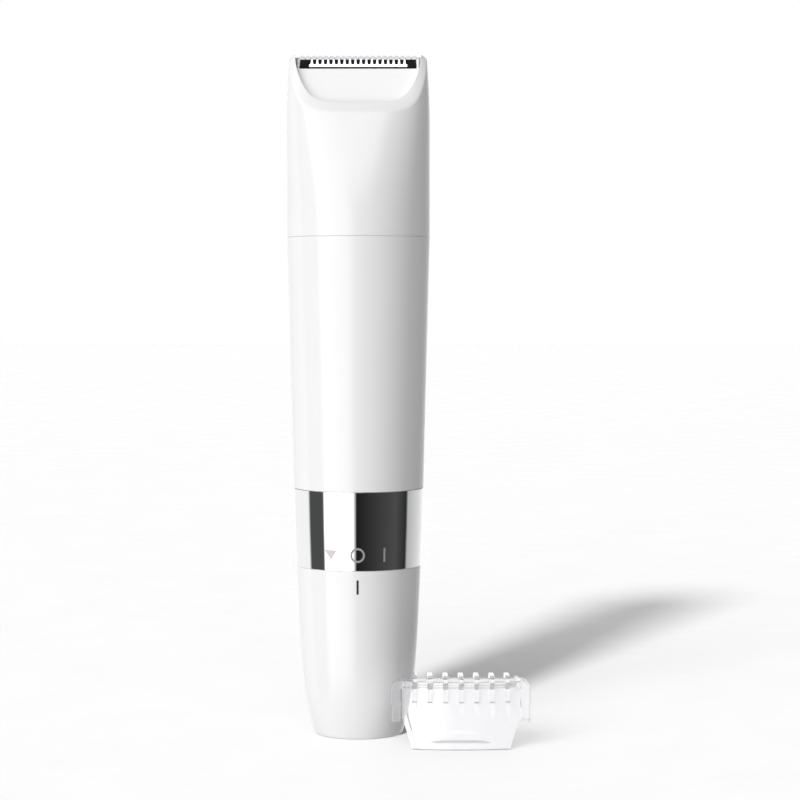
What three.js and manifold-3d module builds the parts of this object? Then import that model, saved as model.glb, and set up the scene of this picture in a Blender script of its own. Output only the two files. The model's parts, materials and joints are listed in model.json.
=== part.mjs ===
// Battery body groomer with a twist switch, a pull-off trimmer head and a clip-on trimming comb.
// Millimetres, +Z up, front towards -Y. The origin is the centre of the flat base that the groomer stands on.

import * as THREE from "three";
import { mergeVertices } from "three/addons/utils/BufferGeometryUtils.js";
import { LoftGeometry } from "three/addons/geometries/LoftGeometry.js";
import Module from "manifold-3d";

const wasm = await Module();
wasm.setup();

// ---------------------------------------------------------------- driving dimensions

const BASE_RADIUS = 9.3; // flat that the groomer stands on
const CAP_TOP = 37.4; // the battery cap ends here
const RING_BOTTOM = 37.7; // chrome ring
const RING_TOP = 54.6;
const HANDLE_BOTTOM = 54.9; // white handle above the ring
const SEAM = 110; // the head meets the handle
const HEAD_BOTTOM = 110.3;
const HEAD_TOP = 150;
const CAP_RIM_RADIUS = 13.8;
const CAP_WALL = 1.6;
const HANDLE_RADIUS = 14.4; // at the ring, where every section is round
const HEAD_HALF_WIDTH = 15.8;
const WALL = 1.8; // moulded shells
const GAP = 0.3; // between parts that touch

const SECTION_POINTS = 32; // round a shell
const ROUND = 24; // round a turned part
const SMALL_ROUND = 12;

const CELL_RADIUS = 5.25; // AAA cell
const CELL_LENGTH = 44.5;
const CELL_BOTTOM = 8.8;

const MOTOR_RADIUS = 7.5;
const MOTOR_BOTTOM = 78; // of the can; the end cap is below it
const MOTOR_TOP = 98;
const WINDING_BOTTOM = 83;
const WINDING_TOP = 94;
const SHAFT_RADIUS = 0.75;
const ECCENTRICITY = 0.6;
const TERMINAL_X = 3.5;
const MOTOR_SCREW_X = 4.8;

const LEVER_PIVOT_Z = 114;
const FORK_BOTTOM = 105.2;
const LEVER_TIP_Z = 126.8;
const FREE = 0.1; // play of a pin in its hole

// The handle's skirt plugs into the ring and its neck plugs into the head.
const SKIRT_RADIUS = 12.8;
const SKIRT_WALL = 1;
const SKIRT_BOTTOM = 38.2;
const NECK_INSET = 2.3; // from the outer form
const NECK_WALL = 1.3;
const NECK_TOP = 117.8;
const NECK_GROOVE = 114.1; // middle of the O-ring's groove

// The battery tube, under a flange that rests on the skirt.
const TUBE_BOTTOM = 12;
const TUBE_TOP = 54;
const TUBE_RADIUS = 6.8;
const TUBE_WALL = 1.1;
const FLANGE_RADIUS = 11.4;
const FRAME_RADIUS = 9.2; // spine, cradles and motor plate
const LEAD_HOLE_Y = -8.6;

const KEY_HALF_WIDTH = 1.8; // switch collar's keys, in the cap neck's notches
const KEY_RADIUS = 11.1;
const KEY_PLAY = 0.4;

const FIXED_PITCH = 1.3;
const FIXED_TEETH = 20;
const MOVING_PITCH = 1.2;
const MOVING_TEETH = 18;
const BLADE_HALF_WIDTH = 12.75;
const BLADE_TILT = 10; // degrees, leaning back
const BLADE_TIP = [0, 0.1, 149.9]; // middle of the fixed blade's tips

const COMB_CENTRE = new THREE.Vector2(22.3, -21.8); // front of the comb's foot, beside the cap
const COMB_HEIGHT = 14.7; // to the top of the cross bars

// ---------------------------------------------------------------- materials

const material = (color, roughness, metalness = 0, extra = {}) =>
  new THREE.MeshStandardMaterial({ color, roughness, metalness, ...extra });

const WHITE_GLOSS = material(0xf2f1f1, 0.22);
const WHITE_INNER = material(0xe9e8e6, 0.5);
const CHROME = material(0xd9dadb, 0.05, 1);
const BLADE_STEEL = material(0xc9cccd, 0.25, 1);
const SPRING_STEEL = material(0xa9acae, 0.35, 1);
const BLACK_PLASTIC = material(0x141414, 0.4);
const GREY_RUBBER = material(0x55575a, 0.8);
const BRASS = material(0xb9974f, 0.35, 1);
const COPPER = material(0xb06a3f, 0.4, 1);
const MAGNET = material(0x37383a, 0.7);
const CELL_JACKET = material(0x2f5d7c, 0.45);
const RED_WIRE = material(0xb3261e, 0.5);
const BLUE_WIRE = material(0x27468c, 0.5);
const CLEAR = material(0xf4f6f8, 0.08, 0, { transparent: true, opacity: 0.35 });

// ---------------------------------------------------------------- making solids

// A closed three.js geometry as a manifold solid.
function solid(geometry) {
  const bare = new THREE.BufferGeometry().copy(geometry);
  bare.deleteAttribute("normal");
  bare.deleteAttribute("uv");
  const merged = mergeVertices(bare, 1e-4);
  return new wasm.Manifold(
    new wasm.Mesh({
      numProp: 3,
      vertProperties: merged.attributes.position.array,
      triVerts: new Uint32Array(merged.index.array),
    }),
  );
}

// A manifold solid as a three.js geometry.
function geometryOf(shape) {
  const { vertProperties, triVerts } = shape.getMesh();
  const geometry = new THREE.BufferGeometry();
  geometry.setAttribute("position", new THREE.BufferAttribute(vertProperties, 3));
  geometry.setIndex(new THREE.BufferAttribute(triVerts, 1));
  return geometry;
}

function part(name, shape, finish) {
  const geometry = shape.isBufferGeometry ? shape : geometryOf(shape);
  const mesh = new THREE.Mesh(geometry, finish);
  mesh.name = name;
  return mesh;
}

const box = (x0, x1, y0, y1, z0, z1) =>
  new THREE.BoxGeometry(x1 - x0, y1 - y0, z1 - z0).translate((x0 + x1) / 2, (y0 + y1) / 2, (z0 + z1) / 2);

const bar = (...sides) => solid(box(...sides));

// The span between two distances from the middle plane, on the side given by the sign.
const span = (side, near, far) => (side > 0 ? [near, far] : [-far, -near]);

const joined = (pieces) => pieces.reduce((whole, piece) => whole.add(piece));
const cutFrom = (whole, holes) => holes.reduce((left, hole) => left.subtract(hole), whole);

// A profile of [radius, height] points, anticlockwise in the r-z plane, turned about Z.
function turned(profile, segments = ROUND) {
  const points = profile.map(([r, z]) => new THREE.Vector2(r, z));
  if (profile[0][0] > 0 || profile.at(-1)[0] > 0) points.push(points[0].clone());
  return new THREE.LatheGeometry(points, segments).rotateX(Math.PI / 2);
}

const washer = (inner, outer, z0, z1, segments = ROUND) =>
  turned(
    [
      [inner, z0],
      [outer, z0],
      [outer, z1],
      [inner, z1],
    ],
    segments,
  );

const rod = (radius, z0, z1, segments = SMALL_ROUND) =>
  turned(
    [
      [0, z0],
      [radius, z0],
      [radius, z1],
      [0, z1],
    ],
    segments,
  );

// A rod along Y.
const crossRod = (radius, y0, y1, x, z, segments = SMALL_ROUND) =>
  new THREE.CylinderGeometry(radius, radius, y1 - y0, segments).translate(x, (y0 + y1) / 2, z);

const shapeOf = (points) => new THREE.Shape(points.map(([x, y]) => new THREE.Vector2(x, y)));

const extruded = (shape, depth, curveSegments) =>
  new THREE.ExtrudeGeometry(shape, { depth, bevelEnabled: false, curveSegments });

// An outline in X and Y, pushed up along Z.
const raised = (shape, z0, z1, curveSegments = 12) =>
  extruded(shape, z1 - z0, curveSegments).translate(0, 0, z0);

// An outline in X and Z, pushed from y0 back to y1.
const pushedBack = (shape, y0, y1, curveSegments = 12) =>
  extruded(shape, y1 - y0, curveSegments)
    .rotateX(Math.PI / 2)
    .translate(0, y1, 0);

// An outline in Y and Z, pushed from x0 across to x1.
const pushedAcross = (shape, x0, x1, curveSegments = 12) =>
  extruded(shape, x1 - x0, curveSegments)
    .rotateY(Math.PI / 2)
    .rotateX(Math.PI / 2)
    .translate(x0, 0, 0);

// A bent strip: the polyline, thickened by t to its left.
function stripShape(points, t) {
  const line = points.map(([x, y]) => new THREE.Vector2(x, y));
  const offset = line.map((p, i) => {
    const before = line[Math.max(0, i - 1)];
    const after = line[Math.min(line.length - 1, i + 1)];
    const along = after.clone().sub(before).normalize();
    return new THREE.Vector2(p.x - along.y * t, p.y + along.x * t);
  });
  return new THREE.Shape([...line, ...offset.reverse()]);
}

// A round wire along a curve.
function wire(curve, radius, steps, sides = 8) {
  const round = new THREE.Shape().absarc(0, 0, radius, 0, 2 * Math.PI);
  const options = { extrudePath: curve, steps, bevelEnabled: false, curveSegments: sides };
  return new THREE.ExtrudeGeometry(round, options);
}

function arcStrip(inner, outer, from, to) {
  const shape = new THREE.Shape();
  shape.absarc(0, 0, outer, from, to, false);
  shape.absarc(0, 0, inner, to, from, true);
  return shape;
}

// ---------------------------------------------------------------- the outer form

const headShare = (z) => THREE.MathUtils.clamp((z - SEAM) / (HEAD_TOP - SEAM), 0, 1);
const handleShare = (z) => THREE.MathUtils.clamp((z - HANDLE_BOTTOM) / (SEAM - HANDLE_BOTTOM), 0, 1);

function halfWidth(z) {
  const neckIn = Math.max(0, (z - 134) / 15.5); // the head narrows a little towards the blade
  return THREE.MathUtils.lerp(HANDLE_RADIUS, HEAD_HALF_WIDTH, handleShare(z)) - 0.7 * neckIn ** 2;
}

const SEAM_DEPTH = 14.5;
const depthAtSeam = (z) => THREE.MathUtils.lerp(HANDLE_RADIUS, SEAM_DEPTH, handleShare(z));
const frontDepth = (z) => depthAtSeam(z) - 2 * headShare(z) - 4 * headShare(z) ** 2;
const backDepth = (z) => depthAtSeam(z) - 1.5 * headShare(z) - 8.5 * headShare(z) ** 2;
const squareness = (z) => 2 + 2 * headShare(z) ** 2; // 2 is an ellipse, 4 a rounded oblong

// The outline at height z, anticlockwise from +X, moved in by inset.
function section(z, inset) {
  const power = 2 / squareness(z);
  return Array.from({ length: SECTION_POINTS }, (_, i) => {
    const a = (2 * Math.PI * i) / SECTION_POINTS;
    const [c, s] = [Math.cos(a), Math.sin(a)];
    const depth = (s < 0 ? frontDepth(z) : backDepth(z)) - inset;
    const x = Math.sign(c) * Math.abs(c) ** power * (halfWidth(z) - inset);
    const y = Math.sign(s) * Math.abs(s) ** power * depth;
    return new THREE.Vector3(x, y, z);
  });
}

// A solid whose sides follow the outer form, from [z, inset] stations.
const formed = (stations) =>
  solid(new LoftGeometry(stations.map(([z, inset]) => section(z, inset)), { capStart: true, capEnd: true }));

const slice = (z0, z1, inset) =>
  formed([
    [z0, inset],
    [z1, inset],
  ]);

// Where the head's front is scooped away under the blade, as a curve in Y and Z.
const SCOOP = [
  [-11.5, 137.6],
  [-8.05, 137.6],
  [-8.15, 141.7],
  [-2.9, 150.3],
];
const SCOOP_STEPS = 12;
const APRON_RECESS = 1.2;
const APRON_THICKNESS = 1.2;
const APRON_TOP = 146.8;

const scoopLine = (back) =>
  new THREE.CubicBezierCurve(...SCOOP.map(([y, z]) => new THREE.Vector2(y + back, z))).getPoints(SCOOP_STEPS);

// ---------------------------------------------------------------- handle

function handleShell() {
  const skirt = solid(rod(SKIRT_RADIUS, SKIRT_BOTTOM, HANDLE_BOTTOM + 2, ROUND));
  const neck = slice(SEAM - 2.5, NECK_TOP, NECK_INSET);
  const outside = slice(HANDLE_BOTTOM, SEAM, 0).add(skirt).add(neck);
  const hollow = slice(HANDLE_BOTTOM + 2.5, SEAM - 2.7, WALL);
  const skirtHollow = solid(rod(SKIRT_RADIUS - SKIRT_WALL, SKIRT_BOTTOM - 1, HANDLE_BOTTOM + 3, ROUND));
  const neckHollow = slice(SEAM - 3.5, NECK_TOP + 1, NECK_INSET + NECK_WALL);
  const grooveRoot = slice(NECK_GROOVE - 1, NECK_GROOVE + 1, NECK_INSET + 0.6);
  const groove = slice(NECK_GROOVE - 0.7, NECK_GROOVE + 0.7, NECK_INSET - 0.3).subtract(grooveRoot);
  return outside.subtract(hollow).subtract(skirtHollow).subtract(neckHollow).subtract(groove);
}

function neckRing() {
  const hole = slice(NECK_GROOVE - 1, NECK_GROOVE + 1, NECK_INSET + 0.5);
  return slice(NECK_GROOVE - 0.5, NECK_GROOVE + 0.5, NECK_INSET - 0.25).subtract(hole);
}

const chromeRing = () =>
  turned(
    [
      [13.1, RING_BOTTOM],
      [13.8, RING_BOTTOM],
      [13.95, RING_BOTTOM + 0.2],
      [14.24, 46],
      [14.5, RING_TOP - 0.2],
      [14.35, RING_TOP],
      [13.1, RING_TOP],
    ],
    SECTION_POINTS,
  );

// The inner frame: battery tube, flange, spine, motor cradle and lever bracket in one moulding.
function chassis() {
  const tube = solid(
    turned([
      [TUBE_RADIUS - TUBE_WALL, TUBE_BOTTOM],
      [TUBE_RADIUS, TUBE_BOTTOM],
      [TUBE_RADIUS, TUBE_TOP],
      [FLANGE_RADIUS, TUBE_TOP],
      [FLANGE_RADIUS, TUBE_TOP + 1.5],
      [1.1, TUBE_TOP + 1.5],
      [1.1, TUBE_TOP + 0.3],
      [TUBE_RADIUS - TUBE_WALL, TUBE_TOP + 0.3],
    ]),
  );
  const leadHole = solid(rod(0.9, TUBE_TOP - 1, TUBE_TOP + 2)).translate([0, LEAD_HOLE_Y, 0]);
  const spine = solid(raised(arcStrip(FRAME_RADIUS - 1.2, FRAME_RADIUS, 0, Math.PI), TUBE_TOP + 1.2, 116));
  const cradles = [MOTOR_BOTTOM + 2, MOTOR_TOP - 4].map((z) =>
    solid(washer(MOTOR_RADIUS + GAP, FRAME_RADIUS, z, z + 2)),
  );
  const motorPlate = solid(washer(2.8, FRAME_RADIUS, MOTOR_TOP + GAP, MOTOR_TOP + 1.6));
  const screwHoles = [-MOTOR_SCREW_X, MOTOR_SCREW_X].map((x) =>
    solid(rod(0.9, MOTOR_TOP, MOTOR_TOP + 2)).translate([x, 0, 0]),
  );
  const topPlate = slice(115.5, NECK_TOP - 0.6, 4).subtract(bar(-4.5, 4.5, -3, 3, 115, NECK_TOP));
  const ears = [-4, 4].map((y) => bar(-2, 2, y - 0.8, y + 0.8, LEVER_PIVOT_Z - 2.5, LEVER_PIVOT_Z + 2));
  const pinHole = solid(crossRod(SHAFT_RADIUS + FREE, -6, 6, 0, LEVER_PIVOT_Z));
  const frame = joined([tube, spine, ...cradles, motorPlate, topPlate, ...ears]);
  return cutFrom(frame, [leadHole, ...screwHoles, pinHole]);
}

const leverPivotPin = () => crossRod(SHAFT_RADIUS, -5, 5, 0, LEVER_PIVOT_Z);

// ---------------------------------------------------------------- motor

const motorCan = () =>
  turned([
    [6.9, MOTOR_BOTTOM],
    [MOTOR_RADIUS, MOTOR_BOTTOM],
    [MOTOR_RADIUS, MOTOR_TOP - 0.8],
    [MOTOR_RADIUS - 0.8, MOTOR_TOP],
    [2.5, MOTOR_TOP],
    [2.5, MOTOR_TOP - 0.6],
    [6.9, MOTOR_TOP - 0.6],
  ]);

const motorEndCap = () =>
  turned([
    [1.1, MOTOR_BOTTOM - 2],
    [MOTOR_RADIUS, MOTOR_BOTTOM - 2],
    [MOTOR_RADIUS, MOTOR_BOTTOM - 0.1],
    [6.7, MOTOR_BOTTOM - 0.1],
    [6.7, MOTOR_BOTTOM + 2],
    [1.1, MOTOR_BOTTOM + 2],
  ]);

const motorBushing = () => washer(SHAFT_RADIUS + FREE, 2.3, MOTOR_TOP - 1.4, MOTOR_TOP + 1.4, SMALL_ROUND);

function motorMagnet(middle) {
  const half = THREE.MathUtils.degToRad(58);
  return raised(arcStrip(5.7, 6.7, middle - half, middle + half), WINDING_BOTTOM - 1, WINDING_TOP + 1);
}

const motorShaft = () => rod(SHAFT_RADIUS, MOTOR_BOTTOM - 1, 103.8);

// Three wound poles round the shaft.
function motorArmature() {
  const core = solid(washer(SHAFT_RADIUS + 0.05, 2.4, WINDING_BOTTOM, WINDING_TOP));
  const tips = solid(washer(4.3, 5.3, WINDING_BOTTOM, WINDING_TOP));
  const poles = [0, 120, 240].map((turn) => ({
    arm: bar(2, 4.8, -1, 1, WINDING_BOTTOM, WINDING_TOP).rotate([0, 0, turn]),
    opening: bar(3.5, 6, -0.8, 0.8, WINDING_BOTTOM - 1, WINDING_TOP + 1).rotate([0, 0, turn + 60]),
  }));
  const shoes = cutFrom(
    tips,
    poles.map(({ opening }) => opening),
  );
  return joined([core, shoes, ...poles.map(({ arm }) => arm)]);
}

// A disc on the shaft with a drive pin standing off its centre.
function eccentricCam() {
  const disc = solid(
    turned(
      [
        [SHAFT_RADIUS + 0.05, 101],
        [3, 101],
        [3, 104.6],
        [0, 104.6],
        [0, 104],
        [SHAFT_RADIUS + 0.05, 104],
      ],
      SMALL_ROUND,
    ),
  );
  return disc.add(solid(rod(0.6, 104.4, 109, 16)).translate([ECCENTRICITY, 0, 0]));
}

const terminal = (x) => box(x - 1, x + 1, -0.2, 0.2, MOTOR_BOTTOM - 4.8, MOTOR_BOTTOM - 2.3);

const motorScrew = () =>
  turned(
    [
      [0, MOTOR_TOP + 0.1],
      [0.7, MOTOR_TOP + 0.1],
      [0.7, MOTOR_TOP + 1.7],
      [1.4, MOTOR_TOP + 1.7],
      [1.4, MOTOR_TOP + 2.3],
      [0.9, MOTOR_TOP + 2.6],
      [0, MOTOR_TOP + 2.6],
    ],
    SMALL_ROUND,
  );

// A rocking lever: a fork round the cam's pin below the pivot, a drive finger above it.
function driveLever() {
  const prongInner = 2.15;
  const prongOuter = 3.35;
  const hub = solid(crossRod(2.2, -2.6, 2.6, 0, LEVER_PIVOT_Z));
  const bridge = bar(-prongOuter, prongOuter, -1.5, 1.5, LEVER_PIVOT_Z - 4, LEVER_PIVOT_Z - 1.4);
  const prongs = [-1, 1].map((side) =>
    bar(...span(side, prongInner, prongOuter), -1.5, 1.5, FORK_BOTTOM, LEVER_PIVOT_Z - 3.5),
  );
  const finger = bar(-1.1, 1.1, -1.3, 1.3, LEVER_PIVOT_Z + 1, LEVER_TIP_Z);
  const bore = solid(crossRod(SHAFT_RADIUS + FREE, -3, 3, 0, LEVER_PIVOT_Z));
  return joined([hub, bridge, ...prongs, finger]).subtract(bore);
}

// ---------------------------------------------------------------- contacts and leads

const positiveContact = () =>
  turned(
    [
      [0, TUBE_TOP - 0.4],
      [3.2, TUBE_TOP - 0.4],
      [3.2, TUBE_TOP],
      [0.8, TUBE_TOP],
      [0.8, TUBE_TOP + 3.5],
      [0, TUBE_TOP + 3.5],
    ],
    SMALL_ROUND,
  );

const lead = (points) =>
  wire(new THREE.CatmullRomCurve3(points.map(([x, y, z]) => new THREE.Vector3(x, y, z))), 0.5, 10, 3);

const positiveLead = () =>
  lead([
    [0, 0, TUBE_TOP + 4],
    [0.2, -1, 62],
    [2.6, -2.2, 68],
    [TERMINAL_X, -0.9, 73],
  ]);

const negativeLead = () =>
  lead([
    [0, LEAD_HOLE_Y, TUBE_TOP - 1.1],
    [0, LEAD_HOLE_Y, TUBE_TOP + 4],
    [-1.6, -5.6, 66],
    [-TERMINAL_X, -0.9, 73],
  ]);

const switchLeaf = () =>
  pushedAcross(
    stripShape(
      [
        [-7.05, 53.8],
        [-7.05, 47.4],
        [-7.5, 45.8],
      ],
      -0.25,
    ),
    -1.5,
    1.5,
  );

const detentSpring = () =>
  raised(arcStrip(11.1, 11.5, THREE.MathUtils.degToRad(60), THREE.MathUtils.degToRad(120)), 48, 50);

// ---------------------------------------------------------------- twist switch

// Turns with the battery cap: two keys hang into the cap neck's notches.
function switchCollar() {
  const ring = solid(washer(8, 10.8, 46.9, 51.5));
  const keys = [-1, 1].map((side) =>
    bar(...span(side, KEY_RADIUS - 1, KEY_RADIUS), -KEY_HALF_WIDTH, KEY_HALF_WIDTH, 43.3, 48),
  );
  return joined([ring, ...keys]);
}

const collarContact = () => washer(8.3, 9.7, 46.5, 46.8);

// ---------------------------------------------------------------- battery cap and battery

const CAP_CURVE = new THREE.CubicBezierCurve(
  new THREE.Vector2(9.95, 0.7),
  new THREE.Vector2(12.65, 9),
  new THREE.Vector2(13, 18),
  new THREE.Vector2(CAP_RIM_RADIUS, CAP_TOP),
);

// The cap and its inner neck, which plugs into the handle. The neck's notches take the collar's keys.
function batteryCap() {
  const outside = CAP_CURVE.getPoints(8).map((p) => [p.x, p.y]);
  const inside = CAP_CURVE.getPoints(4)
    .slice(1)
    .map((p) => [p.x - CAP_WALL, p.y])
    .reverse();
  const foot = [
    [0, 0],
    [BASE_RADIUS, 0],
    [9.75, 0.2],
  ];
  const floor = [
    [8.2, 1.8],
    [0, 1.8],
  ];
  const shell = solid(turned([...foot, ...outside, ...inside, ...floor], SECTION_POINTS));
  const neck = solid(
    turned([
      [9.9, 30],
      [12.2, 30.5],
      [12.2, 32],
      [11.4, 33],
      [11.4, 40.4],
      [10.7, 40.4],
      [10.7, 41.6],
      [11.4, 41.6],
      [11.4, 46],
      [9.9, 46],
    ]),
  );
  const half = KEY_HALF_WIDTH + KEY_PLAY;
  const notches = [-1, 1].map((side) => bar(...span(side, 9, 12), -half, half, 42.8, 47));
  return cutFrom(shell.add(neck), notches);
}

const capRing = () => new THREE.TorusGeometry(11.2, 0.4, 6, ROUND).translate(0, 0, 41);

function springCup() {
  const cup = solid(
    turned([
      [0, 2.1],
      [7, 2.1],
      [7, 11],
      [5.9, 11],
      [5.9, 3],
      [0, 3],
    ]),
  );
  return cup.subtract(bar(4, 8, -2, 2, 3, 12));
}

const contactPlate = () => rod(5.3, 3.1, 3.5, ROUND);

const contactArm = () =>
  pushedBack(
    stripShape(
      [
        [5.6, 3.2],
        [7.6, 3.2],
        [7.6, 28],
        [9.3, 32],
        [9.3, 46.1],
      ],
      0.3,
    ),
    -1.5,
    1.5,
  );

// A conical coil, wide on the contact plate and narrow under the cell.
class ConeCoil extends THREE.Curve {
  getPoint(t, target = new THREE.Vector3()) {
    const turns = 3.5;
    const radius = THREE.MathUtils.lerp(4.6, 2.4, t);
    const a = 2 * Math.PI * turns * t;
    return target.set(radius * Math.cos(a), radius * Math.sin(a), THREE.MathUtils.lerp(3.95, 8.3, t));
  }
}

const batterySpring = () => wire(new ConeCoil(), 0.35, 42, 3);

const batteryCell = () =>
  turned(
    [
      [0, CELL_BOTTOM],
      [4.95, CELL_BOTTOM],
      [4.95, CELL_BOTTOM + CELL_LENGTH - 1],
      [1.9, CELL_BOTTOM + CELL_LENGTH - 1],
      [1.9, CELL_BOTTOM + CELL_LENGTH],
      [0, CELL_BOTTOM + CELL_LENGTH],
    ],
    ROUND,
  );

const batteryJacket = () => washer(5.02, CELL_RADIUS, CELL_BOTTOM + 0.4, CELL_BOTTOM + CELL_LENGTH - 1.2);

// ---------------------------------------------------------------- head

function headShell() {
  const outside = formed([
    [HEAD_BOTTOM, 0],
    [116, 0],
    [122, 0],
    [128, 0],
    [133, 0],
    [137, 0],
    [140, 0],
    [143, 0],
    [146, 0],
    [HEAD_TOP - 0.9, 0],
    [HEAD_TOP, 1.7],
  ]);
  const inside = formed([
    [HEAD_BOTTOM - 1, WALL],
    [HEAD_BOTTOM, WALL],
    [122, WALL],
    [130, WALL],
    [137, WALL],
    [142, WALL],
    [148, WALL],
  ]);
  const ahead = [new THREE.Vector2(-20, 152), new THREE.Vector2(-20, SCOOP[0][1])];
  const front = new THREE.Shape([...scoopLine(0), ...ahead]);
  const scoop = solid(pushedAcross(front, -20, 20));
  const slotHalf = BLADE_HALF_WIDTH + 0.55;
  const bladeSlot = bar(-slotHalf, slotHalf, -20, 2.3, 146, 152);
  return outside.subtract(inside).subtract(scoop).subtract(bladeSlot);
}

// The smooth panel inside the scoop, set back from the rim, with a narrow flange up each side of the blade.
function headApron() {
  const outline = [...scoopLine(APRON_RECESS + APRON_THICKNESS), ...scoopLine(APRON_RECESS).reverse()];
  const sheet = solid(pushedAcross(new THREE.Shape(outline), -20, 20));
  const inside = formed([
    [136, WALL + GAP],
    [139, WALL + GAP],
    [143, WALL + GAP],
    [APRON_TOP, WALL + GAP],
  ]);
  const flangeOutline = shapeOf([
    [-3.8, APRON_TOP - 0.8],
    [-2.7, APRON_TOP - 0.8],
    [0.4, 149.4],
    [-1.2, 149.4],
  ]);
  const flanges = [-1, 1].map((side) =>
    solid(pushedAcross(flangeOutline, ...span(side, BLADE_HALF_WIDTH + 0.1, BLADE_HALF_WIDTH + 0.35))),
  );
  return joined([sheet.intersect(inside), ...flanges]);
}

const headFloor = () => slice(119, 120.5, WALL + GAP).subtract(bar(-4, 4, -3, 3, 118, 122));

function sealMembrane() {
  const pad = bar(-5.6, 5.6, -4.6, 4.6, 120.8, 121.6);
  return pad.subtract(bar(-2.2, 2.2, -1.9, 1.9, 120, 122));
}

const cutterSpring = () =>
  pushedAcross(
    stripShape(
      [
        [-8.5, 120.9],
        [-6, 120.9],
        [-5.2, 130],
        [-4, 136],
        [-4.3, 138],
      ],
      0.25,
    ),
    -2.5,
    2.5,
  );

// A row of teeth standing on a plate, in X and the blade's own height. The plate is wide above its shoulder.
function toothedOutline({ count, pitch, root, tip, rootHalf, tipHalf, halfTop, halfBase, shoulder, bottom }) {
  const first = (-(count - 1) / 2) * pitch;
  const teeth = Array.from({ length: count }, (_, i) => first + i * pitch).flatMap((x) => [
    [x - rootHalf, root],
    [x - tipHalf, tip],
    [x + tipHalf, tip],
    [x + rootHalf, root],
  ]);
  const base = [
    [halfTop, root],
    [halfTop, shoulder],
    [halfBase, shoulder],
    [halfBase, bottom],
    [-halfBase, bottom],
    [-halfBase, shoulder],
    [-halfTop, shoulder],
    [-halfTop, root],
  ];
  return shapeOf([...teeth, ...base].reverse());
}

const SCREW_X = 9.3;
const SCREW_DROP = -6.9;
const PEG_X = 3.5;
const PEG_DROP = -6.3;

// Fixed comb blade: 20 teeth over the full width, screwed to the carrier through its foot.
function fixedBlade() {
  const outline = toothedOutline({
    count: FIXED_TEETH,
    pitch: FIXED_PITCH,
    root: -1.9,
    tip: 0,
    rootHalf: 0.53,
    tipHalf: 0.43,
    halfTop: BLADE_HALF_WIDTH,
    halfBase: 11.7,
    shoulder: -2.05,
    bottom: -8,
  });
  const holes = [-SCREW_X, SCREW_X].map((x) => solid(crossRod(0.75, -1, 1, x, SCREW_DROP, 12)));
  return cutFrom(solid(pushedBack(outline, 0, 0.45)), holes);
}

// Cutting blade, in front of the fixed one and a stroke narrower each side. Two pegs drive it.
function movingBlade() {
  const outline = toothedOutline({
    count: MOVING_TEETH,
    pitch: MOVING_PITCH,
    root: -1.95,
    tip: -0.75,
    rootHalf: 0.28,
    tipHalf: 0.17,
    halfTop: 10.8,
    halfBase: 6,
    shoulder: -3.9,
    bottom: -7.5,
  });
  const holes = [-PEG_X, PEG_X].map((x) => solid(crossRod(0.6, -1, 0, x, PEG_DROP, 12)));
  return cutFrom(solid(pushedBack(outline, -0.75, -0.3)), holes);
}

// Black moulding behind the fixed blade, with lugs that reach round its ends. They hold a thin liner between
// the two blades, and a rail and lips that keep the cutting blade in.
function bladeCarrier() {
  const full = [-BLADE_HALF_WIDTH, BLADE_HALF_WIDTH];
  const block = bar(...full, 0.75, 1.9, -8, -0.45);
  const liner = bar(...full, -0.25, -0.05, -3.15, -0.7);
  const rail = bar(...full, -1.35, -1.1, -3.15, -2.65);
  const lugs = [-1, 1].map((side) => bar(...span(side, 12, BLADE_HALF_WIDTH), -1.35, 1, -3.15, -2.35));
  const lips = [-1, 1].map((side) => bar(...span(side, 11, BLADE_HALF_WIDTH), -1.35, -1.05, -3.15, -1.1));
  const holes = [-SCREW_X, SCREW_X].map((x) => solid(crossRod(0.75, 0, 3, x, SCREW_DROP, 12)));
  return cutFrom(joined([block, liner, rail, ...lugs, ...lips]), holes);
}

// Pan-head screw along Y, its head in front of the fixed blade.
const bladeScrew = (x) =>
  turned(
    [
      [0, -1.7],
      [0.6, -1.7],
      [0.6, 0.05],
      [1.1, 0.05],
      [1.1, 0.3],
      [0.7, 0.45],
      [0, 0.45],
    ],
    SMALL_ROUND,
  )
    .rotateX(Math.PI / 2)
    .translate(x, 0, SCREW_DROP);

// Carries the cutting blade; its stem reaches down to a slot for the lever's finger.
function cutterCarriage() {
  const pad = bar(-5.5, 5.5, -1.75, -1.05, -8.5, -5.2);
  const pegs = [-PEG_X, PEG_X].map((x) => solid(crossRod(0.45, -1.2, -0.4, x, PEG_DROP, 12)));
  const top = joined([pad, ...pegs])
    .rotate([-BLADE_TILT, 0, 0])
    .translate(BLADE_TIP);
  const stem = bar(-2.2, 2.2, -3.6, -2.4, LEVER_TIP_Z - 2.8, 143);
  const foot = bar(-3.2, 3.2, -3.6, 2.4, LEVER_TIP_Z - 3.4, LEVER_TIP_Z + 1.8);
  const slot = bar(-1.3, 1.3, -1.7, 1.6, LEVER_TIP_Z - 4.8, LEVER_TIP_Z + 3.2);
  return joined([top, stem, foot]).subtract(slot);
}

// ---------------------------------------------------------------- trimming comb

const COMB_HALF_WIDTH = 12.65;
const COMB_FOOT_HALF = 10.5;
const COMB_TAPER_Z = 7; // sides are straight above this and taper below it
const COMB_BULGE = 1.7;
const COMB_SHEET = 1.2;
const COMB_BACK = 9.4; // overall depth
const RIBS = 7;
const RIB_PITCH = 3.32;
const RIB_THICKNESS = 1.05;
const RIB_STAND = 0.9; // how far a rib stands off the panel, in front and behind
const RIB_TOP = 15.9;
const ARM_OUTER = 15;
const ARM_BOTTOM = 5.9;
const ARM_FRONT = 2.2;
const ARM_BACK = 7;
const SHOULDER_RADIUS = 2.3;

// Front of the bowed panel at distance x from its middle; y grows towards the back.
const bow = (x) => COMB_BULGE * (x / COMB_HALF_WIDTH) ** 2;

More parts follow.
